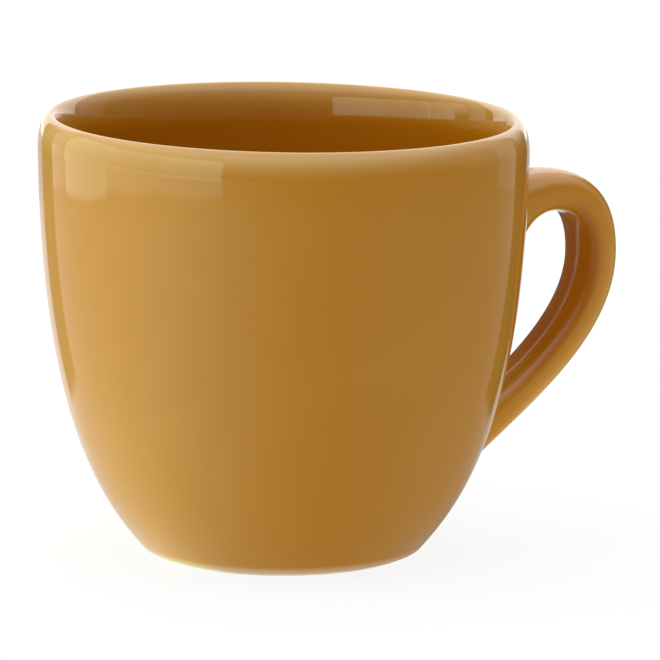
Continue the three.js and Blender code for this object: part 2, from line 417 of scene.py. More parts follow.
def coat_skin(bowl):
    """The free surface of the glaze, from its edge at the foot over the lip to the floor."""
    clay = chain(outside_line(bowl), inside_line(bowl))
    edge = np.clip(walk(clay) / (COAT_EDGE * bowl.glaze), 0, 1)
    grown = bowl.glaze * np.sqrt(1 - (1 - edge) ** 2)
    ways = unit(np.gradient(clay, axis=0))
    skin = clay + np.column_stack([ways[:, 1], -ways[:, 0]]) * grown[:, None]
    skin[-1, 0] = 0
    return skin


def sunk(points, bowl):
    """Points with the rim sunk a little on one side, as the kiln left it."""
    moved = np.array(points, float)
    side = (math.cos(bowl.drop_direction), math.sin(bowl.drop_direction))
    along = moved[:, 0] * side[0] + moved[:, 1] * side[1]
    moved[:, 2] -= bowl.rim_drop * along / bowl.rim_radius * (moved[:, 2] / bowl.height) ** 2
    return moved


# The wheel

SEAM = 1e-7  # points nearer than this are joined where a turn closes


def wheel_tree():
    """A node group that turns a profile, given as the points of a mesh, about the Z axis."""
    tree = bpy.data.node_groups.new("Wheel", "GeometryNodeTree")
    sockets = {
        "Profile": "NodeSocketGeometry",
        "Steps Around": "NodeSocketInt",
        "Finish": "NodeSocketMaterial",
    }
    for name, kind in sockets.items():
        tree.interface.new_socket(name, in_out="INPUT", socket_type=kind)
    tree.interface.new_socket("Piece", in_out="OUTPUT", socket_type="NodeSocketGeometry")
    nodes = Nodes(tree)
    profile = nodes.add("NodeGroupInput")
    steps = nodes.other(profile, "Steps Around")
    finish = nodes.other(profile, "Finish")

    component = {"component": "MESH"}
    count = nodes.add("GeometryNodeAttributeDomainSize", component, {"Geometry": profile})
    grid = nodes.add("GeometryNodeMeshGrid", {}, {"Vertices X": steps + 1, "Vertices Y": count})
    index = nodes.add("GeometryNodeInputIndex")
    place = index % count
    ring = (index - place) / count
    point = nodes.add(
        "GeometryNodeSampleIndex",
        {"data_type": "FLOAT_VECTOR", "domain": "POINT"},
        {"Geometry": profile, "Value": nodes.add("GeometryNodeInputPosition"), "Index": place},
    )
    radius = nodes.add("ShaderNodeSeparateXYZ", {}, {"Vector": point})
    turn = ring * (2 * math.pi) / steps
    x = radius * turn.maths("COSINE", turn)
    y = radius * turn.maths("SINE", turn)
    xyz = {"X": x, "Y": y, "Z": nodes.other(radius, "Z")}
    position = nodes.add("ShaderNodeCombineXYZ", {}, xyz)

    turned = nodes.add("GeometryNodeSetPosition", {}, {"Geometry": grid, "Position": position})
    closed = nodes.add("GeometryNodeMergeByDistance", {}, {"Geometry": turned, "Distance": SEAM})
    rounded = nodes.add("GeometryNodeSetShadeSmooth", {}, {"Geometry": closed})
    real = nodes.add("GeometryNodeRealizeInstances", {}, {"Geometry": rounded})
    finished = nodes.add("GeometryNodeSetMaterial", {}, {"Geometry": real, "Material": finish})
    nodes.add("NodeGroupOutput", {}, {"Piece": finished})
    return tree


def turned_piece(name, profile, bowl, finish):
    """A closed piece turned on the wheel from a profile, with the rim sunk as the kiln left it."""
    points = [(r, 0, z) for r, z in profile]
    host_mesh = bpy.data.meshes.new(name + "_profile")
    host_mesh.from_pydata(points, [(i, i + 1) for i in range(len(points) - 1)], [])
    host = in_scene(name + "_profile", host_mesh)
    tree = bpy.data.node_groups.get("Wheel") or wheel_tree()
    wheel = host.modifiers.new("Wheel", "NODES")
    wheel.node_group = tree
    values = {"Steps Around": bowl.steps_around, "Finish": finish}
    for item in tree.interface.items_tree:
        if item.name in values:
            wheel[item.identifier] = values[item.name]
    depsgraph = bpy.context.evaluated_depsgraph_get()
    mesh = bpy.data.meshes.new_from_object(host.evaluated_get(depsgraph))
    bpy.data.objects.remove(host)
    bpy.data.meshes.remove(host_mesh)
    if not mesh.polygons:
        raise RuntimeError(f"the wheel made nothing for {name}")
    mesh.name = name
    places = np.empty(3 * len(mesh.vertices), np.float32)
    mesh.vertices.foreach_get("co", places)
    places = sunk(places.reshape(-1, 3), bowl).astype(np.float32)
    mesh.vertices.foreach_set("co", places.ravel())
    mesh.update()
    return in_scene(name, mesh)


# The handle

WALL_SAMPLES = 2000
STRAP_POINTS = 160
STUB_POINTS = 30
FOOT_SINK = 0.01 * MM  # how far the fillets end under the skin of the wall

# Where painted shade and light are marked on the handle's glaze: clear of both ends, as shares of
# the handle's length, and across it, from -1 on the finger side to 1 on the outer side
CLEAR_OF_ROOT = (0.16, 0.42)
CLEAR_OF_TAIL = (0.68, 0.92)
STRAP_SHADE_ACROSS = (-0.45, 0.1)
STRAP_LIGHT_ACROSS = (-0.05, 0.5)


def strap_line(bowl, handle):
    """Middle line of the strap: points of radius and height, ways and distances from the root."""
    wall, _ = bezier(wall_controls(bowl), np.linspace(0, 1, WALL_SAMPLES))
    root_height = bowl.height - handle.root_below_rim
    root = np.array([np.interp(root_height, wall[:, 1], wall[:, 0]), root_height])
    tail_height = handle.tail_height
    tail = np.array([np.interp(tail_height, wall[:, 1], wall[:, 0]), tail_height])
    root_way = np.array([math.cos(handle.root_rise), math.sin(handle.root_rise)])
    tail_way = -np.array([math.cos(handle.tail_slope), math.sin(handle.tail_slope)])
    bend = np.array([bowl.rim_radius + handle.bend_reach, bowl.height - handle.bend_below_rim])
    above = bend + (0, handle.bend_upper_pull)
    below = bend - (0, handle.bend_lower_pull)
    places = np.linspace(0, 1, STRAP_POINTS)
    upper, upper_ways = bezier([root, root + handle.root_pull * root_way, above, bend], places)
    lower, lower_ways = bezier([bend, below, tail - handle.tail_pull * tail_way, tail], places)
    stub = np.linspace(0, handle.overrun, STUB_POINTS)[1:, None]
    into_root = (root - stub * root_way)[::-1]
    points = np.vstack([into_root, upper, lower[1:], tail + stub * tail_way])
    ends = np.ones((len(stub), 1))
    ways = np.vstack([ends * root_way, upper_ways, lower_ways[1:], ends * tail_way])
    return points, ways, walk(points) - handle.overrun


def strap_lines(bowl, handle, growth):
    """Lines along the strap, one for each side, grown by a thickness over its clay."""
    points, ways, walked = strap_line(bowl, handle)
    total = walked[-1] - handle.overrun
    share = np.clip(walked / total, 0, 1)

    def flare(distance, reach):
        return np.exp(-(((distance + handle.flare_depth) / reach) ** 2))

    root = flare(walked, handle.root_flare_length)
    tail = flare(total - walked, handle.tail_flare_length)
    half_width = (handle.width_top + (handle.width_tail - handle.width_top) * share) / 2
    half_width += handle.root_spread * root + handle.tail_spread * tail + growth
    outer_half = handle.thickness / 2 + growth
    finger_half = outer_half + handle.root_flare * root + handle.tail_flare * tail
    power = 2 / handle.squareness
    lines = []
    for turn in np.arange(handle.sides) * 2 * math.pi / handle.sides:
        across = math.copysign(abs(math.cos(turn)) ** power, math.cos(turn))
        away = math.copysign(abs(math.sin(turn)) ** power, math.sin(turn))
        out = away * (finger_half if away < 0 else outer_half)
        x = points[:, 0] - out * ways[:, 1]
        z = points[:, 1] + out * ways[:, 0]
        lines.append(np.column_stack([x, across * half_width, z]))
    return np.array(lines)


def along_line(line, walked, distances):
    """Points of a line at distances from its start."""
    return np.column_stack([np.interp(distances, walked, line[:, k]) for k in range(3)])


def on_wall(points, skin, sink):
    """Points moved straight in or out to lie just under the outside skin of the bowl."""
    moved = np.array(points, float)
    radius = np.hypot(moved[:, 0], moved[:, 1])
    wanted = np.interp(moved[:, 2], skin[:, 1], skin[:, 0]) - sink
    moved[:, :2] *= (wanted / radius)[:, None]
    return moved


def fillet_rings(corner, strap_ring, handle, skin):
    """Rings from inside the wall, out onto its skin and round a fillet to the strap."""
    outwards = strap_ring - strap_ring.mean(axis=0)
    normal = unit(corner * (1, 1, 0))
    slope = np.gradient(skin[:, 0], skin[:, 1])
    normal[:, 2] = -np.interp(corner[:, 2], skin[:, 1], slope)
    normal = unit(normal)
    spread = unit(outwards - (outwards * normal).sum(axis=1)[:, None] * normal)
    foot = on_wall(corner + handle.fillet * spread, skin, FOOT_SINK)
    rings = [foot - handle.root_depth * normal]
    for place in np.linspace(0, 1, handle.fillet_steps + 1):
        far = 1 - place
        rings.append(far**2 * foot + 2 * place * far * corner + place**2 * strap_ring)
    return rings


def handle_rings(bowl, handle, growth, skin):
    """Rings of points from inside the wall, over both fillets and the strap, and back into it."""
    lines = strap_lines(bowl, handle, growth)
    half = lines.shape[1] // 2
    skin = skin[: np.argmax(skin[:, 1])]
    starts, ends, runs = [], [], []
    for line in lines:
        wall_radius = np.interp(line[:, 2], skin[:, 1], skin[:, 0])
        outside = np.hypot(line[:, 0], line[:, 1]) - wall_radius
        walked = walk(line)
        first = half - np.argmax(outside[half::-1] < 0)
        last = half + np.argmax(outside[half:] < 0)
        entry = slice(first, first + 2)
        exit_ = slice(last, last - 2, -1)
        enter = np.interp(0, outside[entry], walked[entry])
        leave = np.interp(0, outside[exit_], walked[exit_])
        run = np.linspace(enter + handle.fillet, leave - handle.fillet, handle.steps)
        runs.append(along_line(line, walked, run))
        starts.append(along_line(line, walked, [enter])[0])
        ends.append(along_line(line, walked, [leave])[0])
    runs = np.array(runs)
    root = fillet_rings(np.array(starts), runs[:, 0], handle, skin)
    tail = fillet_rings(np.array(ends), runs[:, -1], handle, skin)
    strap = [runs[:, i] for i in range(1, handle.steps - 1)]
    return [*root, *strap, *tail[::-1]]


def ring_mesh(name, rings):
    """A closed mesh through rings of points, with a cap and two sharp rings at each end."""
    sides = len(rings[0])
    points = np.vstack(rings)
    faces = []
    for i in range(len(rings) - 1):
        here, there = i * sides, (i + 1) * sides
        for j in range(sides):
            k = (j + 1) % sides
            faces.append((here + j, there + j, there + k, here + k))
    last = (len(rings) - 1) * sides
    faces.append(tuple(range(sides)))
    faces.append(tuple(last + j for j in reversed(range(sides))))
    mesh = bpy.data.meshes.new(name)
    mesh.from_pydata(points.tolist(), [], faces)
    mesh.shade_smooth()
    sharp_rings = {0, 1, len(rings) - 2, len(rings) - 1}
    ring_of = np.arange(len(points)) // sides
    for edge in mesh.edges:
        a, b = (ring_of[v] for v in edge.vertices)
        edge.use_edge_sharp = bool(a == b and a in sharp_rings)
    mesh.validate()
    return mesh


def smooth(values, start, end):
    """0 before start, 1 after end, and a smooth rise between them."""
    place = np.clip((values - start) / (end - start), 0, 1)
    return place * place * (3 - 2 * place)


def mark_glaze(mesh, sides):
    """Marks painted shade on the finger side of the strap and painted light on its outer side."""
    outwards = np.sin(np.arange(sides) * 2 * math.pi / sides)
    along = np.linspace(0, 1, len(mesh.vertices) // sides)
    clear_of_wall = smooth(along, *CLEAR_OF_ROOT) * (1 - smooth(along, *CLEAR_OF_TAIL))
    marks = {
        STRAP_SHADE: 1 - smooth(outwards, *STRAP_SHADE_ACROSS),
        STRAP_LIGHT: smooth(outwards, *STRAP_LIGHT_ACROSS),
    }
    for name, across in marks.items():
        attribute = mesh.attributes.new(name, "FLOAT", "POINT")
        attribute.data.foreach_set("value", np.outer(clear_of_wall, across).ravel())


# Finishes. Ranges are of a noise's own values, and shares say how strongly a colour shows

CLOUDY, CLOUD_SHARE = (0.35, 0.75), 0.2
STREAKY, STREAK_SHARE = (0.5, 0.85), 0.2
STREAK_STRETCH = (1, 1, 0.22)
PINHOLES, PINHOLE_SHARE, PINHOLE_DEPTH = (0.004, 0.009), 0.8, 20
# share of the painted light on the strap's outer side
STRAP_LIGHT_SHARE = 0.6
# share of the paler lip, thin glaze with a painted highlight
LIP_SHEEN_SHARE = 0.8
FADED_SHARE = 0.85
# Depths below the rim between which the lip's glaze thins and carries a painted highlight, and the
# painted shade inside the bowl ends
LIP_OUTSIDE = (5 * MM, 0.8 * MM)
LIP_INSIDE = (1.6 * MM, 0)
SHADE_INSIDE = (7 * MM, 1.5 * MM)
# Heights between which the glaze fades at the foot, and the wear of the floor inside ends
FADED = (0.9 * MM, 2.6 * MM)
WORN = (6 * MM, 45 * MM)
# Roughness that clouds, pinholes, wear and the painted shade on the strap's finger side add to the
# glaze
CLOUDY_ROUGH, CLOUD_ROUGHNESS = (0.3, 0.8), 0.03
PINHOLE_ROUGHNESS = 0.3
WORN_ROUGHNESS = 0.24
STRAP_ROUGHNESS = 0.06
# Heights of the glaze's slow waves and of its fine orange peel, and its index of refraction
SWAY_HEIGHT = 0.12 * MM
PEEL_HEIGHT = 0.0012 * MM
GLAZE_IOR = 1.6
WALL_STOPS = 12
INSIDE_EDGE = 0.01  # width of the edge between inside and outside, as a share of the rim's radius

PATCHY, PATCH_SHARE = (0.3, 0.75), 0.35
SPECKS, SPECKED_PATCHES, SPECK_SHARE = (0.12, 0.24), (0.4, 0.7), 0.7
GRAIN_HEIGHT, GRAIN_STRENGTH = 0.06 * MM, 0.6
CLAY_ROUGHNESS, GRAIN_ROUGHNESS = 0.78, 0.2


def new_material(name):
    """A bare material and its node tree."""
    material = bpy.data.materials.new(name)
    material.use_nodes = True
    material.node_tree.nodes.clear()
    return material, Nodes(material.node_tree)


def noise(nodes, where, scale, detail=2, roughness=0.5, distortion=0):
    """Values of a noise about 0.5."""
    values = {
        "Vector": where,
        "Scale": scale,
        "Detail": detail,
        "Roughness": roughness,
        "Distortion": distortion,
    }
    return nodes.add("ShaderNodeTexNoise", {}, values)


def scattered_dots(nodes, where, scale):
    """Distances to the nearest of many scattered dots, in units of their spacing."""
    values = {"Vector": where, "Scale": scale, "Randomness": 1}
    return nodes.add("ShaderNodeTexVoronoi", {"feature": "F1"}, values)


def mixed(nodes, share, first, second):
    """A colour between two others."""
    values = {"Factor_Float": share, "A_Color": first, "B_Color": second}
    return nodes.add("ShaderNodeMix", {"data_type": "RGBA"}, values, "Result_Color")


def ramp(nodes, place, stops):
    """Greys that follow a value, from pairs of a place and a level."""
    stops = [(at, grey(level)) for at, level in stops]
    return nodes.add("ShaderNodeValToRGB", {"stops": stops}, {"Fac": place})


def bump(nodes, height, distance, **sockets):
    """A normal that follows a height. Other sockets go by the Bump node's own names."""
    values = {"Strength": 1, "Distance": distance, "Height": height, **sockets}
    return nodes.add("ShaderNodeBump", {}, values)


def mark(nodes, name):
    """Values of an attribute of the mesh."""
    return nodes.add("ShaderNodeAttribute", {"attribute_name": name}, {}, "Fac")


def depth_inside(nodes, radius, height, bowl):
    """1 on the inside of the bowl and 0 on its outside, from the radius of the wall's middle."""
    wall, _ = bezier(wall_controls(bowl), np.linspace(0, 1, WALL_STOPS))
    stops = [(z / bowl.height, (r - bowl.wall / 2) / bowl.rim_radius) for r, z in wall]
    middle = ramp(nodes, height / bowl.height, stops)
    return (middle - radius / bowl.rim_radius).rise(0, INSIDE_EDGE)


def glaze_finish(finishes, bowl):
    """Glossy ochre glaze with soft clouds, faint streaks and a few pinholes.

    It carries painted shade inside the bowl and on the strap's finger side, and painted light on
    the strap's outer side. It is paler on the lip, thin glaze with a painted highlight, and above
    the foot, where it ran thin. The floor inside is worn and less glossy.
    """
    material, nodes = new_material(GLAZE)
    where = nodes.add("ShaderNodeTexCoord", {}, {}, "Object")
    clouds = noise(nodes, where, scale=38, detail=3, roughness=0.55, distortion=0.6)
    drawn_out = nodes.add("ShaderNodeMapping", {}, {"Vector": where, "Scale": STREAK_STRETCH})
    streaks = noise(nodes, drawn_out, scale=120)
    across = nodes.add("ShaderNodeSeparateXYZ", {}, {"Vector": where})
    away = nodes.other(across, "Y")
    height = nodes.other(across, "Z")
    radius = (across * across + away * away) ** 0.5
    inside = depth_inside(nodes, radius, height, bowl)

    def below_rim(start, end):
        return height.rise(bowl.height - start, bowl.height - end)

    # paler band at the lip: thin glaze, partly a painted highlight
    lip_thin_and_sheen = below_rim(*LIP_OUTSIDE) * (1 - inside) + below_rim(*LIP_INSIDE) * inside
    # painted shade inside the bowl, fading out below the lip; the same mask also marks the worn
    # floor
    inside_shade_and_wear = inside * (1 - below_rim(*SHADE_INSIDE))
    faded = 1 - height.rise(*FADED)
    # painted shade on the strap's finger side, which faces the bowl; it is also made a little
    # rougher
    painted_strap_shade = mark(nodes, STRAP_SHADE)
    pinhole = 1 - scattered_dots(nodes, where, scale=34).rise(*PINHOLES)
    tones = (
        (clouds.rise(*CLOUDY) * CLOUD_SHARE, finishes.glaze_light),
        (streaks.rise(*STREAKY) * STREAK_SHARE, finishes.glaze_deep),
        # painted shade inside the bowl
        (inside_shade_and_wear, finishes.glaze_inside_shade),
        # painted shade on the strap's finger side
        (painted_strap_shade, finishes.glaze_strap_shade),
        # painted light: the strap's outer side is paler
        (mark(nodes, STRAP_LIGHT) * STRAP_LIGHT_SHARE, finishes.glaze_thin_and_sheen),
        # thin glaze on the lip, partly a painted highlight
        (lip_thin_and_sheen * LIP_SHEEN_SHARE, finishes.glaze_thin_and_sheen),
        (faded * FADED_SHARE, finishes.glaze_edge),
        (pinhole * PINHOLE_SHARE, finishes.pinhole),
    )
    base = rgba(finishes.glaze)
    for share, tone in tones:
        base = mixed(nodes, share, base, rgba(tone))

    worn = inside_shade_and_wear * (1 - height.rise(*WORN)) * WORN_ROUGHNESS
    roughness = finishes.glaze_gloss + clouds.rise(*CLOUDY_ROUGH) * CLOUD_ROUGHNESS
    roughness = roughness + pinhole * PINHOLE_ROUGHNESS + worn + painted_strap_shade * STRAP_ROUGHNESS
    swayed = bump(nodes, noise(nodes, where, scale=26, detail=1), SWAY_HEIGHT)
    peel = noise(nodes, where, scale=520)
    normal = bump(nodes, peel - pinhole * PINHOLE_DEPTH, PEEL_HEIGHT, Normal=swayed)
    values = {"Base Color": base, "Roughness": roughness, "IOR": GLAZE_IOR, "Normal": normal}
    shader = nodes.add("ShaderNodeBsdfPrincipled", {}, values)
    nodes.add("ShaderNodeOutputMaterial", {}, {"Surface": shader})
    return material


def clay_finish(finishes):
    """Bare fired clay: pale, matt and grainy, with darker patches and specks."""
    material, nodes = new_material(CLAY)
    where = nodes.add("ShaderNodeTexCoord", {}, {}, "Object")
    tone = noise(nodes, where, scale=160, detail=4, roughness=0.6)
    grain = noise(nodes, where, scale=2600, detail=3, roughness=0.65)
    speck = 1 - scattered_dots(nodes, where, scale=1500).rise(*SPECKS)
    dark = rgba(finishes.clay_dark)
    base = mixed(nodes, tone.rise(*PATCHY) * PATCH_SHARE, rgba(finishes.clay), dark)
    base = mixed(nodes, speck * tone.rise(*SPECKED_PATCHES) * SPECK_SHARE, base, dark)
    normal = bump(nodes, grain, GRAIN_HEIGHT, Strength=GRAIN_STRENGTH)
    roughness = CLAY_ROUGHNESS + grain * GRAIN_ROUGHNESS
    values = {"Base Color": base, "Roughness": roughness, "Normal": normal}
    shader = nodes.add("ShaderNodeBsdfPrincipled", {}, values)
    nodes.add("ShaderNodeOutputMaterial", {}, {"Surface": shader})
    return material


def cup_of(context):
    """The tea cup's settings in a scene."""
    return context.scene.tea_cup


def glaze_of(context):
    """The finish of the glaze, made once."""
    cup = cup_of(context)
    return bpy.data.materials.get(GLAZE) or glaze_finish(cup.finishes, cup.bowl)


def clay_of(context):
    """The finish of the bare clay, made once."""
    return bpy.data.materials.get(CLAY) or clay_finish(cup_of(context).finishes)


def hand_over(piece, slot, *nodes):
    """Lets a finished piece ride with the cup in place of its solids."""
    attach(piece, "root")
    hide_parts(*nodes)


# Studio: lamps by name, degrees around from the camera's side to the right, distance from the cup's
# axis, height of the lower edge, width, height, brightness and tint

WHITE = (1, 1, 1)
SUNNY = (0.94, 1.2, 0.98)
SOFTBOX = (0.05, 0.2144, 0.235)
FOOT = (0.0, 0.2144, 0.05)
LAMPS = (
    ("softbox_front", -42, 0.40, *SOFTBOX, 1.2, SUNNY),
    ("softbox_middle", -72, 0.40, *SOFTBOX, 1.0, SUNNY),
    ("softbox_rear", -102, 0.38, *SOFTBOX, 1.0, SUNNY),
    ("softbox_front_foot", -42, 0.40, *FOOT, 0.68, SUNNY),
    ("softbox_middle_foot", -72, 0.40, *FOOT, 0.75, SUNNY),
    ("softbox_rear_foot", -102, 0.38, *FOOT, 1.1, SUNNY),
    ("left_strip", -127, 0.40, 0.0, 0.112, 0.285, 0.4, SUNNY),
    ("right_strip", 126, 0.40, 0.0, 0.17, 0.285, 0.18, WHITE),
    ("back_card", 180, 0.85, 0.0, 1.4, 0.7, 1.1, WHITE),
)
# Lamps, given in the same way, that light the cup without a mirror image in its glaze
FILLS = (
    ("fill_front", -42, 0.40, *SOFTBOX, 0.25, SUNNY),
    ("fill_middle", -72, 0.40, *SOFTBOX, 1.2, SUNNY),
    ("fill_rear", -102, 0.40, *SOFTBOX, 1.9, SUNNY),
)
# Dark cards by name, degrees around, distance, the side that they face, width, height and tone
FLAGS = (
    ("left_flag", -123.8, 0.1106, -147, 0.034, 0.13, 0.27),
    ("right_flag", 122.1, 0.097, 148, 0.033, 0.106, 0.06),
    ("rear_flag", 150, 0.071, 60, 0.052, 0.095, 0.1),
)
# Soft edges of the cards: at the sides, as squares of shares of half the width, and at the foot and
# the top, as shares of the height
FLAG_SIDE = (0.6, 1)
FLAG_FOOT = (-0.02, 0.04)
FLAG_TOP = (0.7, 1)
FLAG_CLOUDS = 0.8  # share of a card's tone in its darker clouds
# The floor: half of its width, its depth under the foot, and the grey and the share of its clouds
FLOOR_HALF = 5
FLOOR_DROP = 0.02 * MM
FLOOR_CLOUDS, FLOOR_CLOUD_SHARE = 0.8, 0.1
FLOOR_SEEN = 0.85  # share of plain white in what the camera sees of it, beside its shadow
# What the glaze mirrors of the floor, as degrees around and shares of its brightest glow
FLOOR_GLOW = 2
FLOOR_MIRRORED = (
    *((-180, 0.44), (-140, 0.48), (-115, 0.45), (-60, 0.55)),
    *((-30, 0.39), (0, 0.18), (20, 0.13), (60, 0.19)),
    *((105, 0.15), (125, 0.19), (160, 0.42), (180, 0.44)),
)
# In what the glaze mirrors: where the cup's shadow ends and how much of the glow is left in it, and
# where the floor dims further off and by how much
SHADOW_MIRRORED, SHADOW_LEFT = (0.030, 0.075), 0.82
DIMMED_MIRRORED, DIMMED_BY = (0.3, 0.45), 0.3
# What lights the cup from the floor, as the distance from the axis of the cup and the brightness
FLOOR_LIT = ((0.0, 0.95), (0.12, 0.95), (0.35, 0.7))
# The same beside and behind the cup, near on the right, near on the left and further off, and in
# front, near on the left
LIT_NEAR_RIGHT = (1.75, 1.9, 1.7)
LIT_NEAR_LEFT = (2.2, 2.5, 2.1)
LIT_FURTHER = (1.15, 1.2, 1.15)
LIT_FRONT_LEFT = (1.6, 2.0, 1.55)
# Where these meet: distances from the axis, and shares of the way back and of the way to the left
LIT_NEAR = (0.06, 0.2)
LIT_BESIDE = (-0.7, 0.2)
LIT_LEFT = (-0.3, 0.3)
LIT_FAR_LEFT = (0.3, 0.9)
# The room overhead, as the sine of the angle above the floor and shares of its brightest light, on
# the camera's side and behind the cup, and where the two meet
ROOM = (
    (0.0, 0.03, 0.08),
    (0.25, 0.05, 0.08),
    (0.5, 0.22, 0.22),
    (0.75, 0.47, 0.47),
    (1.0, 0.37, 0.37),
)
ROOM_FRONT = (-0.25, 0.25)


# Operators


class CUP_OT_clay_bowl(bpy.types.Operator):
    """Turn the bare clay bowl, of which the foot ring stays in sight"""

    bl_idname = "cup.clay_bowl"
    bl_label = "Clay Bowl"

    def execute(self, context):
        bowl = cup_of(context).bowl
        land = bowl.foot_radius - bowl.land_width
        depth = bowl.well_depth
        well = np.array([(0, depth), (land - bowl.well_slope, depth), (land, 0)])
        edge = np.array([(land + LAND_EDGE, 0), (bowl.foot_radius, 0)])
        corner = foot_corner(bowl, 0, bowl.glaze_line)
        profile = chain(well, edge, corner, outside_line(bowl), inside_line(bowl))
        piece = turned_piece("clay_bowl", profile, bowl, clay_of(context))
        hand_over(piece, "clay", "bowl")
        return {"FINISHED"}


class CUP_OT_glaze_coat(bpy.types.Operator):
    """Turn the coat of glaze that covers the outside, the lip and the inside"""

    bl_idname = "cup.glaze_coat"
    bl_label = "Glaze Coat"

    def execute(self, context):
        bowl = cup_of(context).bowl
        clay = chain(outside_line(bowl), inside_line(bowl))
        profile = np.vstack([coat_skin(bowl), clay[::-1][::2], clay[:1]])
        piece = turned_piece("glaze_coat", profile, bowl, glaze_of(context))
        hand_over(piece, "glaze", "outer_glaze", "inner_glaze")
        return {"FINISHED"}


class CUP_OT_handle(bpy.types.Operator):
    """Sweep the strap of the handle, its clay and its coat of glaze"""

    bl_idname = "cup.handle"
    bl_label = "Handle"

    def execute(self, context):
        cup = cup_of(context)
        coat = self.sweep(cup, "handle_coat", cup.bowl.glaze, glaze_of(context))
        mark_glaze(coat.data, cup.handle.sides)
        hand_over(coat, "glaze", "handle_glaze")
        clay = self.sweep(cup, "handle_clay", 0, clay_of(context))
        hand_over(clay, "clay", "handle")
        for node in ("upper_slip_joint", "lower_slip_joint"):
            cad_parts[node].data.materials.clear()
            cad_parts[node].data.materials.append(clay_of(context))
        return {"FINISHED"}

    @staticmethod
    def sweep(cup, name, growth, finish):
        """A piece along the strap, grown by a thickness over its clay."""
        rings = handle_rings(cup.bowl, cup.handle, growth, coat_skin(cup.bowl))
        mesh = ring_mesh(name, [sunk(ring, cup.bowl) for ring in rings])
        mesh.materials.append(finish)
        return in_scene(name, mesh)


class CUP_OT_foot_well(bpy.types.Operator):
    """Turn the glaze that lies in the well under the foot"""

    bl_idname = "cup.foot_well"
    bl_label = "Foot Well Glaze"

    def execute(self, context):
        bowl = cup_of(context).bowl
        inner = WELL_HIGH.y - bowl.glaze
        edge = arc((inner, bowl.well_depth), bowl.glaze, -90, 0, CORNER_STEPS)
        across = np.linspace(0, inner, WELL_POINTS)
        flat = np.column_stack([across, np.full(WELL_POINTS, WELL_LOW.z)])
        back = np.array([(0, bowl.well_depth)])
        profile = chain(flat, edge, back)
        piece = turned_piece("foot_well_coat", profile, bowl, glaze_of(context))
        hand_over(piece, "glaze", "foot_well_glaze")
        return {"FINISHED"}


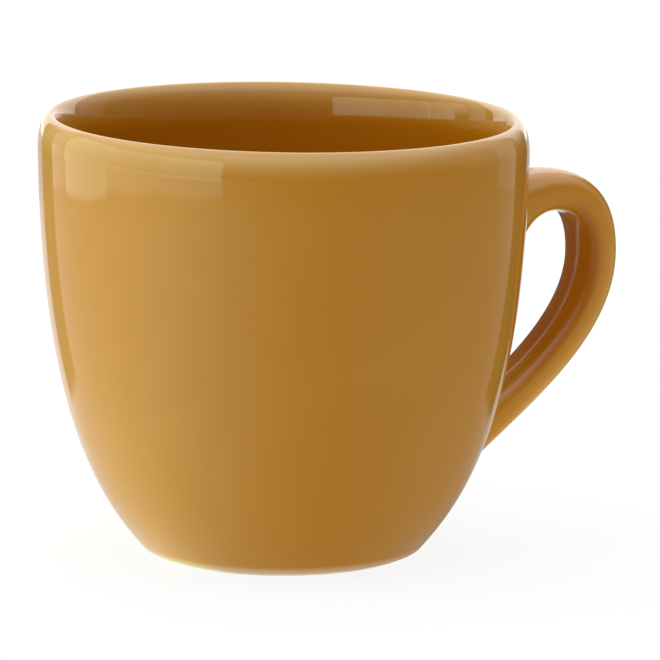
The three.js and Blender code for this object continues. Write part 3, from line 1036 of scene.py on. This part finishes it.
class CUP_OT_studio(bpy.types.Operator):
    """Set up the floor, the lamps, the room and the camera"""

    bl_idname = "cup.studio"
    bl_label = "Studio"

    def execute(self, context):
        studio = cup_of(context).studio
        self.floor(studio)
        self.room(context.scene, studio)
        for lamp in LAMPS:
            self.lamp(studio, *lamp)
        for fill in FILLS:
            self.lamp(studio, *fill).visible_glossy = False
        for flag in FLAGS:
            self.flag(studio, *flag)
        self.camera(context.scene, studio)
        context.scene.view_settings.view_transform = "Standard"
        return {"FINISHED"}

    @staticmethod
    def spot(studio, around, distance, height=0):
        """A place around the cup, in degrees from the camera's side to the right of the picture."""
        turn = math.radians(around) - studio.around
        return Vector((distance * math.sin(turn), -distance * math.cos(turn), height))

    @staticmethod
    def panel(name, material, corners):
        """A flat piece of the studio."""
        mesh = bpy.data.meshes.new(name)
        mesh.from_pydata([tuple(corner) for corner in corners], [], [(0, 1, 2, 3)])
        mesh.materials.append(material)
        panel = in_scene(name, mesh)
        return panel

    def floor(self, studio):
        """The floor, with a brightness each for the camera, the gloss and the light on the cup."""
        material, nodes = new_material("studio_floor")
        where = nodes.add("ShaderNodeTexCoord", {}, {}, "Object")
        rotation = (0, 0, studio.around)
        turned = nodes.add("ShaderNodeMapping", {}, {"Vector": where, "Rotation": rotation})
        right = nodes.add("ShaderNodeSeparateXYZ", {}, {"Vector": turned})
        back = nodes.other(right, "Y")
        reach = nodes.add("ShaderNodeVectorMath", {"operation": "LENGTH"}, {0: where}, "Value")
        seen = nodes.add("ShaderNodeLightPath", {}, {}, "Is Camera Ray")
        mirrored = nodes.other(seen, "Is Glossy Ray") + nodes.other(seen, "Is Transmission Ray")
        scattered = nodes.other(seen, "Is Diffuse Ray")
        glow = self.floor_mirrored(nodes, right, back, reach)
        glow = mixed(nodes, scattered, glow, self.floor_lit(nodes, right, back, reach))
        glow = mixed(nodes, seen, glow, rgba(WHITE))
        clouds = noise(nodes, where, scale=6) * FLOOR_CLOUD_SHARE
        pale = mixed(nodes, clouds, rgba(studio.floor), grey(FLOOR_CLOUDS))
        card = nodes.add("ShaderNodeBsdfDiffuse", {}, {"Color": pale})
        white = nodes.add("ShaderNodeEmission", {}, {"Color": glow})
        share = seen * FLOOR_SEEN + mirrored + scattered
        shader = nodes.add("ShaderNodeMixShader", {}, {0: share, 1: card, 2: white})
        nodes.add("ShaderNodeOutputMaterial", {}, {"Surface": shader})
        material.cycles.emission_sampling = "NONE"
        ways = ((-1, -1), (1, -1), (1, 1), (-1, 1))
        corners = [(x * FLOOR_HALF, y * FLOOR_HALF, -FLOOR_DROP) for x, y in ways]
        self.panel("studio_floor", material, corners)

    @staticmethod
    def floor_mirrored(nodes, right, back, reach):
        """The floor as the glaze mirrors it."""
        around = right.maths("ARCTAN2", right, 0 - back) / (2 * math.pi) + 0.5
        stops = [(0.5 + degrees / 360, level) for degrees, level in FLOOR_MIRRORED]
        shine = ramp(nodes, around, stops)
        lit = SHADOW_LEFT + (1 - SHADOW_LEFT) * reach.rise(*SHADOW_MIRRORED)
        clear = lit * (1 - DIMMED_BY * reach.rise(*DIMMED_MIRRORED))
        return mixed(nodes, shine * clear, grey(0), grey(FLOOR_GLOW))

    @staticmethod
    def floor_lit(nodes, right, back, reach):
        """The floor as it lights the cup."""
        end = FLOOR_LIT[-1][0]
        lit = ramp(nodes, reach / end, [(place / end, level) for place, level in FLOOR_LIT])
        beside = (back / reach).rise(*LIT_BESIDE)
        left = 0 - right / reach
        further = reach.rise(*LIT_NEAR)
        near = mixed(nodes, left.rise(*LIT_LEFT), rgba(LIT_NEAR_RIGHT), rgba(LIT_NEAR_LEFT))
        lit = mixed(nodes, beside, lit, mixed(nodes, further, near, rgba(LIT_FURTHER)))
        front_left = left.rise(*LIT_FAR_LEFT) * (1 - further) * (1 - beside)
        return mixed(nodes, front_left, lit, rgba(LIT_FRONT_LEFT))

    def room(self, scene, studio):
        """The light of the room, which the camera sees as plain white."""
        world = bpy.data.worlds.new("studio_room")
        world.use_nodes = True
        world.node_tree.nodes.clear()
        nodes = Nodes(world.node_tree)
        way = nodes.add("ShaderNodeTexCoord", {}, {}, "Generated")
        up = nodes.add("ShaderNodeSeparateXYZ", {}, {"Vector": way}, "Z")
        towards = {0: way, 1: self.spot(studio, 0, 1)}
        front = nodes.add("ShaderNodeVectorMath", {"operation": "DOT_PRODUCT"}, towards, "Value")
        front_shade = ramp(nodes, up, [(place, level) for place, level, _ in ROOM])
        back_shade = ramp(nodes, up, [(place, level) for place, _, level in ROOM])
        shade = mixed(nodes, front.rise(*ROOM_FRONT), back_shade, front_shade)
        glow = mixed(nodes, shade, grey(0), rgba(studio.room))
        seen = nodes.add("ShaderNodeLightPath", {}, {}, "Is Camera Ray")
        tone = mixed(nodes, seen, glow, rgba(WHITE))
        background = nodes.add("ShaderNodeBackground", {}, {"Color": tone, "Strength": 1})
        nodes.add("ShaderNodeOutputWorld", {}, {"Surface": background})
        scene.world = world

    def lamp(self, studio, name, around, distance, bottom, width, tall, brightness, tint):
        """A flat lamp that faces the axis of the cup."""
        data = bpy.data.lights.new(name, "AREA")
        data.shape, data.size, data.size_y = "RECTANGLE", width, tall
        data.energy = brightness * math.pi * width * tall
        data.color = tint
        lamp = in_scene(name, data)
        lamp.location = self.spot(studio, around, distance, bottom + tall / 2)
        aim = Vector((0, 0, lamp.location.z))
        lamp.rotation_euler = (aim - lamp.location).to_track_quat("-Z", "Y").to_euler()
        lamp.visible_camera = False
        return lamp

    def flag(self, studio, name, around, distance, facing, width, tall, tone):
        """A dark card with soft edges near the cup, which shows only in the gloss of the glaze."""
        middle = self.spot(studio, around, distance)
        side = self.spot(studio, facing + 90, width / 2)
        along = side.normalized()
        material, nodes = new_material(name)
        where = nodes.add("ShaderNodeTexCoord", {}, {}, "Object")
        sockets = {0: where, 1: along}
        place = nodes.add("ShaderNodeVectorMath", {"operation": "DOT_PRODUCT"}, sockets, "Value")
        place = (place - middle.dot(along)) / side.length
        height = nodes.add("ShaderNodeSeparateXYZ", {}, {"Vector": where}, "Z") / tall
        edges = (1 - (place * place).rise(*FLAG_SIDE)) * height.rise(*FLAG_FOOT)
        edges = edges * (1 - height.rise(*FLAG_TOP))
        dark = mixed(nodes, noise(nodes, where, scale=40), grey(tone), grey(FLAG_CLOUDS * tone))
        card = nodes.add("ShaderNodeBsdfDiffuse", {}, {"Color": dark})
        air = nodes.add("ShaderNodeBsdfTransparent")
        shader = nodes.add("ShaderNodeMixShader", {}, {0: edges, 1: air, 2: card})
        nodes.add("ShaderNodeOutputMaterial", {}, {"Surface": shader})
        top = Vector((0, 0, tall))
        corners = [middle - side, middle + side, middle + side + top, middle - side + top]
        flag = self.panel(name, material, corners)
        for ray in ("camera", "diffuse", "shadow", "transmission"):
            setattr(flag, "visible_" + ray, False)

    def camera(self, scene, studio):
        """The camera at the photograph's angle."""
        data = bpy.data.cameras.new("camera")
        data.sensor_width = SENSOR_WIDTH
        data.lens = studio.focal * SENSOR_WIDTH / PHOTO_SIDE
        data.clip_start = NEAREST_SEEN
        camera = in_scene("camera", data)
        place = Matrix.Translation(self.spot(studio, 0, studio.distance, studio.rise))
        heading = Matrix.Rotation(-studio.around - studio.yaw, 4, "Z")
        tilt = Matrix.Rotation(math.pi / 2 - studio.pitch, 4, "X")
        camera.matrix_world = place @ heading @ tilt @ Matrix.Rotation(studio.roll, 4, "Z")
        scene.camera = camera


class CUP_PT_panel(bpy.types.Panel):
    """The steps that build the cup, in order"""

    bl_label = "Tea Cup"
    bl_idname = "CUP_PT_panel"
    bl_space_type = "VIEW_3D"
    bl_region_type = "UI"
    bl_category = "Tea Cup"

    def draw(self, context):
        for step in STEPS:
            self.layout.operator(step.bl_idname)
        cup = cup_of(context)
        for group in (cup.bowl, cup.handle, cup.finishes, cup.studio):
            box = self.layout.box()
            for name in group.bl_rna.properties.keys():
                if name not in ("rna_type", "name"):
                    box.prop(group, name)


STEPS = (CUP_OT_clay_bowl, CUP_OT_glaze_coat, CUP_OT_handle, CUP_OT_foot_well, CUP_OT_studio)
CLASSES = (BowlSizes, HandleSizes, Finishes, Studio, TeaCup, *STEPS, CUP_PT_panel)


def register():
    for each in CLASSES:
        bpy.utils.register_class(each)
    bpy.types.Scene.tea_cup = bpy.props.PointerProperty(type=TeaCup)


def unregister():
    del bpy.types.Scene.tea_cup
    for each in reversed(CLASSES):
        bpy.utils.unregister_class(each)


def main():
    register()
    bpy.ops.cup.clay_bowl()
    bpy.ops.cup.glaze_coat()
    bpy.ops.cup.handle()
    bpy.ops.cup.foot_well()
    bpy.ops.cup.studio()


if __name__ == "__main__":
    main()
